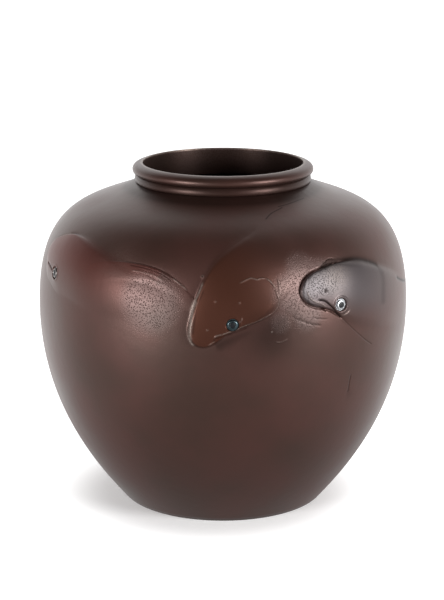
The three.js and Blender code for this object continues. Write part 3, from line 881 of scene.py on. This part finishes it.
def turned_tree(name):
    """Geometry nodes that turn a profile, given as the points of the mesh, about the Z axis"""
    tree = bpy.data.node_groups.new(name, "GeometryNodeTree")
    for label, kind in (("Profile", "Geometry"), ("Steps", "Int"), ("Material", "Material")):
        tree.interface.new_socket(label, in_out="INPUT", socket_type=f"NodeSocket{kind}")
    tree.interface.new_socket("Turned", in_out="OUTPUT", socket_type="NodeSocketGeometry")
    make = NodeMaker(tree)
    given = make.node("NodeGroupInput").outputs
    position = make.node("GeometryNodeInputPosition").outputs[0]
    count = make.node("GeometryNodeAttributeDomainSize", {0: given["Profile"]}).outputs["Point Count"]
    columns = make.maths("ADD", given["Steps"], 1)
    size = {"Size X": 1, "Size Y": 1, "Vertices X": columns, "Vertices Y": count}
    grid = make.node("GeometryNodeMeshGrid", size).outputs["Mesh"]
    cell = make.node("ShaderNodeSeparateXYZ", {0: position}).outputs
    last = make.maths("SUBTRACT", count, 1)
    row = make.maths("ROUND", make.maths("MULTIPLY", make.maths("ADD", cell["Y"], 0.5), last))
    turn = make.maths("MULTIPLY", make.maths("ADD", cell["X"], 0.5), 2 * math.pi)
    source = {"Geometry": given["Profile"], "Value": position, "Index": row}
    sample = make.node("GeometryNodeSampleIndex", source, data_type="FLOAT_VECTOR")
    point = make.node("ShaderNodeSeparateXYZ", {0: sample.outputs[0]}).outputs
    aside = make.maths("MULTIPLY", point["X"], make.maths("SINE", turn))
    back = make.maths("MULTIPLY", point["X"], make.maths("COSINE", turn))
    place = {"X": aside, "Y": make.maths("MULTIPLY", back, -1), "Z": point["Z"]}
    place = make.node("ShaderNodeCombineXYZ", place).outputs[0]
    moved = make.node("GeometryNodeSetPosition", {"Geometry": grid, "Position": place}).outputs[0]
    welded = make.node("GeometryNodeMergeByDistance", {"Geometry": moved, "Distance": WELD}).outputs[0]
    realized = make.node("GeometryNodeRealizeInstances", {0: welded}).outputs[0]
    paint = {"Geometry": realized, "Material": given["Material"]}
    make.node("NodeGroupOutput", {0: make.node("GeometryNodeSetMaterial", paint).outputs[0]})
    return tree


def turned_piece(name, profile, steps, material):
    """A piece turned from (radius, height) points that go up its outer side"""
    tree = shared_tree("Turned part", turned_tree)
    mesh = bpy.data.meshes.new(name)
    mesh.from_pydata([(r, 0, h) for r, h in profile], [], [])
    piece = object_from(name, mesh)
    modifier = piece.modifiers.new("Turned part", "NODES")
    modifier.node_group = tree
    sockets = {item.name: item.identifier for item in tree.interface.items_tree}
    modifier[sockets["Steps"]] = steps
    modifier[sockets["Material"]] = material
    turned = piece.evaluated_get(bpy.context.evaluated_depsgraph_get())
    made = bpy.data.meshes.new_from_object(turned)
    piece.modifiers.remove(modifier)
    piece.data = made
    made.name = name
    shade(made, TURNED_SHARP)
    return piece


# Materials

def group_tree(name, inputs, outputs):
    """A new shader group with the names and kinds of its inputs and outputs, and its maker of nodes"""
    tree = bpy.data.node_groups.new(name, "ShaderNodeTree")
    for side, sockets in (("INPUT", inputs), ("OUTPUT", outputs)):
        for label, kind in sockets.items():
            tree.interface.new_socket(label, in_out=side, socket_type=f"NodeSocket{kind}")
    make = NodeMaker(tree)
    return tree, make, make.node("NodeGroupInput").outputs


def grain_group(name):
    """Fine round pits and soft ripples of a cast surface, as a height in metres, and where pits lie"""
    tree, make, given = group_tree(
        name, dict.fromkeys(("Pit size", "Pit depth", "Ripple size", "Ripple depth"), "Float"),
        {"Height": "Float", "Speckle": "Float"})
    where = make.node("ShaderNodeTexCoord").outputs["Object"]

    def pattern(kind, size):
        scale = make.maths("DIVIDE", 1, given[size])
        return make.node(kind, {"Vector": where, "Scale": scale}).outputs[0]

    pits = pattern("ShaderNodeTexVoronoi", "Pit size")
    ripples = pattern("ShaderNodeTexNoise", "Ripple size")
    pit_height = make.maths("MULTIPLY", make.ranged(pits, *PIT_CHANGE, 0, 1), given["Pit depth"])
    ripple_height = make.maths("MULTIPLY", ripples, given["Ripple depth"])
    make.node("NodeGroupOutput", {
        "Height": make.maths("ADD", pit_height, ripple_height),
        "Speckle": make.ranged(pits, *SPECKLE_CHANGE, 0, 1)})
    return tree


def patina_group(name):
    """Cloudy mixing of two patina colours, and a roughness that follows the clouds"""
    tree, make, given = group_tree(
        name, {"First colour": "Color", "Second colour": "Color", "Cloud size": "Float",
               "Smooth roughness": "Float", "Matt roughness": "Float"},
        {"Color": "Color", "Roughness": "Float"})
    where = make.node("ShaderNodeTexCoord").outputs["Object"]
    scale = make.maths("DIVIDE", 1, given["Cloud size"])
    noise = make.node("ShaderNodeTexNoise", {"Vector": where, "Scale": scale, "Detail": CLOUD_DETAIL})
    cloud = make.ranged(noise.outputs["Fac"], *CLOUD_CHANGE, 0, 1, kind="LINEAR")
    tones = {"Factor": cloud, "A": given["First colour"], "B": given["Second colour"]}
    roughness = {"Factor": cloud, "A": given["Smooth roughness"], "B": given["Matt roughness"]}
    make.node("NodeGroupOutput", {
        "Color": make.node("ShaderNodeMix", tones, data_type="RGBA").outputs["Result"],
        "Roughness": make.node("ShaderNodeMix", roughness, data_type="FLOAT").outputs["Result"]})
    return tree


def metal(name, metallic, shine, cloud_values, grain_values):
    """A metal with clouds in its patina and a grain, the maker of its nodes, its shader's inputs and the
    node of its grain"""
    material = bpy.data.materials.new(name)
    material.use_nodes = True
    make = NodeMaker(material.node_tree)
    shader = material.node_tree.nodes["Principled BSDF"].inputs
    shader["Metallic"].default_value = metallic
    shader["Specular IOR Level"].default_value = shine
    clouds = make.node("ShaderNodeGroup", cloud_values, node_tree=shared_tree("Patina clouds", patina_group))
    make.link(clouds.outputs["Color"], shader["Base Color"])
    make.link(clouds.outputs["Roughness"], shader["Roughness"])
    grain = make.node("ShaderNodeGroup", grain_values, node_tree=shared_tree("Cast grain", grain_group))
    height = {"Strength": 1.0, "Distance": 1.0, "Height": grain.outputs["Height"]}
    make.link(make.node("ShaderNodeBump", height).outputs[0], shader["Normal"])
    return material, make, shader, grain


def bronze_material(name, look, marks):
    """Dark patinated bronze. Each mark is a mask of the mesh and the shader values that it changes."""
    clouds = {
        "First colour": (*look.ground, 1), "Second colour": (*look.ground_warm, 1),
        "Cloud size": look.cloud_size, "Smooth roughness": look.smooth, "Matt roughness": look.matt,
    }
    cast = {"Pit size": look.pit_size, "Ripple size": look.ripple_size, "Ripple depth": look.ripple_depth}
    material, make, shader, grain = metal(name, look.metallic, look.shine, clouds, cast)

    def mask_of(attribute):
        return make.node("ShaderNodeAttribute", attribute_name=attribute).outputs["Fac"]

    for attribute, changes in marks.items():
        mask = mask_of(attribute)
        # The paler paint of rubbing and highlight is broken up by the pits' speckle
        if attribute == "rubbed":
            speckled = make.ranged(grain.outputs["Speckle"], 0, 1, LEAST_WEAR_AND_HIGHLIGHT, 1)
            mask = make.maths("MULTIPLY", mask, speckled)
        for label, value in changes.items():
            make.blend_over(shader[label], mask, value)
    depth = make.ranged(mask_of("stipple"), 0, 1, look.pit_depth, look.stipple_depth, kind="LINEAR")
    make.link(depth, grain.inputs["Pit depth"])
    return material


def eye_material(name, colour, roughness, metallic, shine):
    """Polished inlay with faint rubbing"""
    clouds = {
        "First colour": (*colour, 1), "Second colour": (*(part * EYE_CLOUDED for part in colour), 1),
        "Cloud size": EYE_CLOUD_SIZE, "Smooth roughness": roughness, "Matt roughness": roughness + EYE_MATT,
    }
    return metal(name, metallic, shine, clouds, EYE_GRAIN)[0]


# Stage

def add_camera(scene):
    data = bpy.data.cameras.new("Camera")
    data.lens = CAMERA_LENS
    data.clip_start, data.clip_end = CAMERA_CLIP
    camera = bpy.data.objects.new("Camera", data)
    camera.location = CAMERA_PLACE
    camera.rotation_euler = (math.pi / 2 - CAMERA_PITCH, 0, 0)
    scene.collection.objects.link(camera)
    scene.camera = camera


def add_floor():
    """A pale floor. The camera sees it fade into the white background a little way from the vase; round the
    foot its glow is weaker, a painted shade that deepens the lamps' shadow where it falls. To the vase it is
    paler behind than in front."""
    half = FLOOR_SIZE / 2
    mesh = bpy.data.meshes.new("Floor")
    corners = [(-half, -half, 0), (half, -half, 0), (half, half, 0), (-half, half, 0)]
    mesh.from_pydata(corners, [], [(0, 1, 2, 3)])
    material = bpy.data.materials.new("Pale floor")
    material.use_nodes = True
    material.node_tree.nodes.clear()
    make = NodeMaker(material.node_tree)
    place = make.node("ShaderNodeTexCoord").outputs["Object"]
    split = make.node("ShaderNodeSeparateXYZ", {0: place}).outputs
    behind = make.ranged(split["Y"], *FLOOR_CHANGE)
    aside = make.ranged(make.maths("ABSOLUTE", split["X"]), *FLOOR_SIDE_CHANGE)
    unseen = make.node("ShaderNodeEmission", {"Strength": make.maths("ADD", behind, aside)}).outputs[0]
    away = make.node("ShaderNodeVectorMath", {0: place, 1: SHADE_CENTRE}, operation="DISTANCE")
    # Painted shade: weaker glow round the foot, centred where the lamps' shadow falls
    white = make.ranged(away.outputs["Value"], *SHADE_CHANGE)
    glow = make.node("ShaderNodeEmission", {"Strength": white}).outputs[0]
    lit = make.node("ShaderNodeBsdfDiffuse", {"Color": FLOOR_GREY}).outputs[0]
    seen = make.node("ShaderNodeAddShader", {0: lit, 1: glow}).outputs[0]
    make.node("ShaderNodeOutputMaterial", {"Surface": make.seen_or_unseen(seen, unseen)})
    mesh.materials.append(material)
    floor = object_from("Floor", mesh)


def add_lamps(scene):
    for name, (azimuth, elevation, distance, size, power) in LAMPS.items():
        data = bpy.data.lights.new(name, "AREA")
        data.shape = "DISK"
        data.size = size
        data.energy = power
        lamp = bpy.data.objects.new(name, data)
        a, e = math.radians(azimuth), math.radians(elevation)
        away = Vector((math.sin(a) * math.cos(e), -math.cos(a) * math.cos(e), math.sin(e)))
        lamp.location = Vector(LAMP_AIM) + away * distance
        lamp.rotation_euler = away.to_track_quat("Z", "Y").to_euler()
        scene.collection.objects.link(lamp)


def add_world(scene):
    """White where the camera sees it; a soft grey light on the vase, paler behind it than in front"""
    world = scene.world or bpy.data.worlds.new("World")
    scene.world = world
    world.use_nodes = True
    world.node_tree.nodes.clear()
    make = NodeMaker(world.node_tree)
    way = make.node("ShaderNodeTexCoord").outputs["Generated"]
    behind = make.node("ShaderNodeVectorMath", {0: way, 1: PALE_SIDE}, operation="DOT_PRODUCT")
    strength = make.ranged(behind.outputs["Value"], *WORLD_CHANGE)
    unseen = make.node("ShaderNodeBackground", {"Color": WHITE, "Strength": strength}).outputs[0]
    seen = make.node("ShaderNodeBackground", {"Color": WHITE}).outputs[0]
    make.node("ShaderNodeOutputWorld", {"Surface": make.seen_or_unseen(seen, unseen)})
    scene.view_settings.view_transform = "Standard"


# Pieces, one operator each

class VASE_OT_stage(bpy.types.Operator):
    """Camera, pale floor, soft lamps and white surroundings"""

    bl_idname = "vase.stage"
    bl_label = "Add stage"

    def execute(self, context):
        add_camera(context.scene)
        if context.scene.camera is None:
            raise RuntimeError("The scene has no camera")
        add_floor()
        add_lamps(context.scene)
        add_world(context.scene)
        return {"FINISHED"}


class VASE_OT_body(bpy.types.Operator):
    """The cast wall with the fish in low relief, the foot and the inside"""

    bl_idname = "vase.body"
    bl_label = "Add vase body"

    def execute(self, context):
        s, look = context.scene.vase_settings, context.scene.bronze_look
        wall = Wall(s)
        fishes = {name: Fish(name, wall) for name in FISH}
        places, triangles = wall_places(wall)
        places, triangles = refine(places, triangles, Detail(list(fishes.values()), wall))
        around, up = places.T
        masks, rises, shadows, cuts = {}, {}, {}, 0
        for name, fish in fishes.items():
            near = fish.near(around, up)
            fields = [np.zeros(len(places)) for _ in range(4)]
            for field, values in zip(fields, fish.relief(around[near], up[near])):
                field[near] = values
            rises[name], shadows[name], cut, skin = fields
            cuts = cuts + cut
            tint = FISH[name]["tint"]
            masks[tint] = np.maximum(masks.get(tint, 0), skin)
        lift = sum(rise ** MEETING_POWER for rise in rises.values()) ** (1 / MEETING_POWER)
        for name, shadow in shadows.items():
            covered = np.max([rise for other, rise in rises.items() if other != name], axis=0)
            lift -= shadow * (1 - smooth_step(0, COVERED_AT, covered))
        lines, masks["rubbed"], masks["dark"] = chased(wall, around, up)
        # Painted shade on the wall's last stretch under the mouth ring
        under_ring = smooth_step(wall.high - SHADED, wall.high - SHADED / 2, up) * RING_SHADE
        masks["dark"] = np.maximum(masks["dark"], under_ring)
        lift -= cuts + lines
        mesh = bpy.data.meshes.new("cast_wall")
        mesh.from_pydata(wall.points(around, up, lift).tolist(), [], triangles.tolist())
        masks["stipple"] = np.maximum(stippling(wall, around, up), masks["rubbed"])
        add_masks(mesh, masks)
        body = bmesh.new()
        body.from_mesh(mesh)
        bmesh.ops.remove_doubles(body, verts=body.verts, dist=WELD)
        close_inside(body, inside_profile(wall, s))
        body.to_mesh(mesh)
        body.free()
        shade(mesh, WALL_SHARP)
        marks = {
            "left_fish": {"Base Color": look.left_fish, "Specular IOR Level": look.left_shine},
            "middle_fish": {"Base Color": look.middle_fish, "Specular IOR Level": look.middle_shine},
            "right_fish": {"Base Color": look.right_fish, "Specular IOR Level": look.right_shine},
            "stipple": {"Specular IOR Level": look.stipple_shine, "Roughness": look.stipple_roughness},
            # Paler paint: rubbing on ridges and a painted highlight
            "rubbed": {"Base Color": look.rubbed, "Roughness": look.wear_and_highlight_roughness},
            # Darker paint: painted shade, which also takes the sheen away, and a darker tone
            "dark": {"Base Color": look.dark, "Specular IOR Level": 0.0},
        }
        mesh.materials.append(bronze_material("Cast bronze patina", look, marks))
        finish_piece(object_from("cast_wall", mesh), "cast_bronze", "vase_body")
        return {"FINISHED"}


class VASE_OT_mouth(bpy.types.Operator):
    """The turned mouth ring: spigot, collar, groove and rolled lip"""

    bl_idname = "vase.mouth"
    bl_label = "Add mouth ring"

    def execute(self, context):
        s, look = context.scene.vase_settings, context.scene.bronze_look
        shoulder, level = s.shoulder_radius, s.shoulder_height
        spigot = shoulder - s.land - s.clearance
        bore = spigot - SPIGOT_WALL
        top = level + RING_HEIGHT
        groove = (shoulder - GROOVE_DEPTH, level + GROOVE_HEIGHT)
        pull = shoulder + COLLAR_BULGE * PULL_OF_BULGE
        collar = [(shoulder, level), (pull, level), (pull, level + COLLAR_HEIGHT), groove]
        lip = (shoulder + LIP_OVERHANG, top - LIP_DROP)
        profile = [(bore, level - SPIGOT_LENGTH), (spigot, level - SPIGOT_LENGTH), (spigot, level)]
        profile += [tuple(p) for p in bezier(collar, COLLAR_STEPS)]
        profile += arc(groove, (lip[0], groove[1]), lip, GROOVE_STEPS)
        profile += arc(lip, (lip[0], lip[1] + LIP_DROP * LIP_FULLNESS), (bore + LIP_EDGE, top), LIP_STEPS)
        profile += arc(profile[-1], (bore, top), (bore, top - LIP_EDGE), EDGE_ARC_STEPS)
        profile += [(bore, top - 3 * LIP_EDGE), (bore, level - SPIGOT_LENGTH)]
        marks = {
            # Darker paint: painted shade, which also takes the sheen away, and the lip's darker tone
            "dark": {"Base Color": look.dark, "Specular IOR Level": 0.0},
            # Paler paint on the lip's inner edge: rubbing and a painted highlight
            "rubbed": {"Base Color": look.rubbed},
        }
        material = bronze_material("Turned bronze patina", look, marks)
        ring = turned_piece("turned_mouth_ring", profile, RING_STEPS, material)
        place = np.array([vert.co for vert in ring.data.vertices])
        radius, height = np.hypot(place[:, 0], place[:, 1]), place[:, 2]
        outside = smooth_step(bore, bore + LIP_EDGE, radius)
        # Painted shade on the ring below its groove, a darker tone on its lip
        shaded = (level + GROOVE_HEIGHT, level + GROOVE_HEIGHT * LIP_DARKENING_FROM)
        below_lip = np.interp(height, shaded, (RING_SHADE, LIP_DARKENING))
        # Painted shade inside the bore
        inside = INSIDE_SHADE * (1 - outside) * smooth_step(top - LIP_EDGE, top - 2 * LIP_EDGE, height)
        # The lip's inner edge painted paler, as rubbing and as a painted highlight
        worn_and_highlit_edge = bump(np.hypot(radius - bore - LIP_EDGE, height - top), 2 * LIP_EDGE)
        masks = {"dark": np.maximum(inside, below_lip), "rubbed": worn_and_highlit_edge, "stipple": outside * RING_STIPPLE}
        add_masks(ring.data, masks)
        finish_piece(ring, "turned_bronze", "mouth_ring")
        return {"FINISHED"}


class VASE_OT_base(bpy.types.Operator):
    """The plate let into the foot from below"""

    bl_idname = "vase.base"
    bl_label = "Add base plate"

    def execute(self, context):
        s, look = context.scene.vase_settings, context.scene.bronze_look
        radius = s.foot_radius - s.foot_face - s.clearance
        low, high = s.plate_recess, s.plate_recess + s.plate_thickness
        profile = [(0, low), (radius - PLATE_EDGE, low)]
        profile += arc(profile[-1], (radius, low), (radius, low + PLATE_EDGE), EDGE_ARC_STEPS)
        profile += [(radius, high), (0, high)]
        material = bronze_material("Base bronze patina", look, {})
        plate = turned_piece("let_in_base", profile, RING_STEPS, material)
        finish_piece(plate, "turned_bronze", "base_plate")
        return {"FINISHED"}


class VASE_OT_eyes(bpy.types.Operator):
    """A silver ring and a black peg inlaid in each fish as its eye"""

    bl_idname = "vase.eyes"
    bl_label = "Add eyes"

    def execute(self, context):
        wall = Wall(context.scene.vase_settings)
        black = eye_material("Eye black", EYE_BLACK, roughness=0.4, metallic=0.0, shine=0.25)
        floor = -SOCKET_DEPTH
        dome = EYE_RADIUS - EYE_LEDGE
        ring = [(PUPIL_RADIUS, floor), (EYE_RADIUS, floor), (EYE_RADIUS, -EYE_SINK), (dome, -EYE_SINK)]
        ring += arc(ring[-1], (dome, EYE_PROUD), (PUPIL_RADIUS + EYE_BEVEL, EYE_PROUD), EYE_ARC_STEPS)
        ring += [(PUPIL_RADIUS, EYE_PROUD - EYE_BEVEL), (PUPIL_RADIUS, floor)]
        peg = [(0, floor), (PUPIL_RADIUS, floor), (PUPIL_RADIUS, 0)]
        peg += arc(peg[-1], (PUPIL_RADIUS, PUPIL_PROUD), (0, PUPIL_PROUD), EYE_ARC_STEPS)
        for name in (name for name in FISH if "eye" in FISH[name]):
            place = Fish(name, wall).eye_frame()
            tarnish = FISH[name]["silver"]
            silver = eye_material(f"Eye silver {name}", tarnish, roughness=0.3, metallic=1.0, shine=0.5)
            for part, profile, steps, material, slot in (
                ("eye_ring", ring, EYE_STEPS, silver, "eye_silver"),
                ("pupil", peg, PUPIL_STEPS, black, "eye_black"),
            ):
                piece = turned_piece(f"{name}_inlaid_{part}", profile, steps, material)
                piece.data.transform(place)
                finish_piece(piece, slot, f"{name}_{part}")
        return {"FINISHED"}


class VASE_PT_panel(bpy.types.Panel):
    """The vase's pieces and settings in the sidebar"""

    bl_idname = "VASE_PT_panel"
    bl_label = "Bronze fish vase"
    bl_space_type = "VIEW_3D"
    bl_region_type = "UI"
    bl_category = "Vase"

    def draw(self, context):
        for operator in OPERATORS:
            self.layout.operator(operator.bl_idname)
        for group in (context.scene.vase_settings, context.scene.bronze_look):
            box = self.layout.box()
            for name in group.__annotations__:
                box.prop(group, name)


OPERATORS = (VASE_OT_stage, VASE_OT_body, VASE_OT_mouth, VASE_OT_base, VASE_OT_eyes)
CLASSES = (VaseSettings, BronzeLook, *OPERATORS, VASE_PT_panel)


def register():
    for item in CLASSES:
        bpy.utils.register_class(item)
    bpy.types.Scene.vase_settings = bpy.props.PointerProperty(type=VaseSettings)
    bpy.types.Scene.bronze_look = bpy.props.PointerProperty(type=BronzeLook)


def unregister():
    del bpy.types.Scene.vase_settings
    del bpy.types.Scene.bronze_look
    for item in reversed(CLASSES):
        bpy.utils.unregister_class(item)


def main():
    register()
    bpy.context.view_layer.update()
    bpy.ops.vase.stage()
    bpy.ops.vase.body()
    bpy.ops.vase.mouth()
    bpy.ops.vase.base()
    bpy.ops.vase.eyes()


if __name__ == "__main__":
    main()
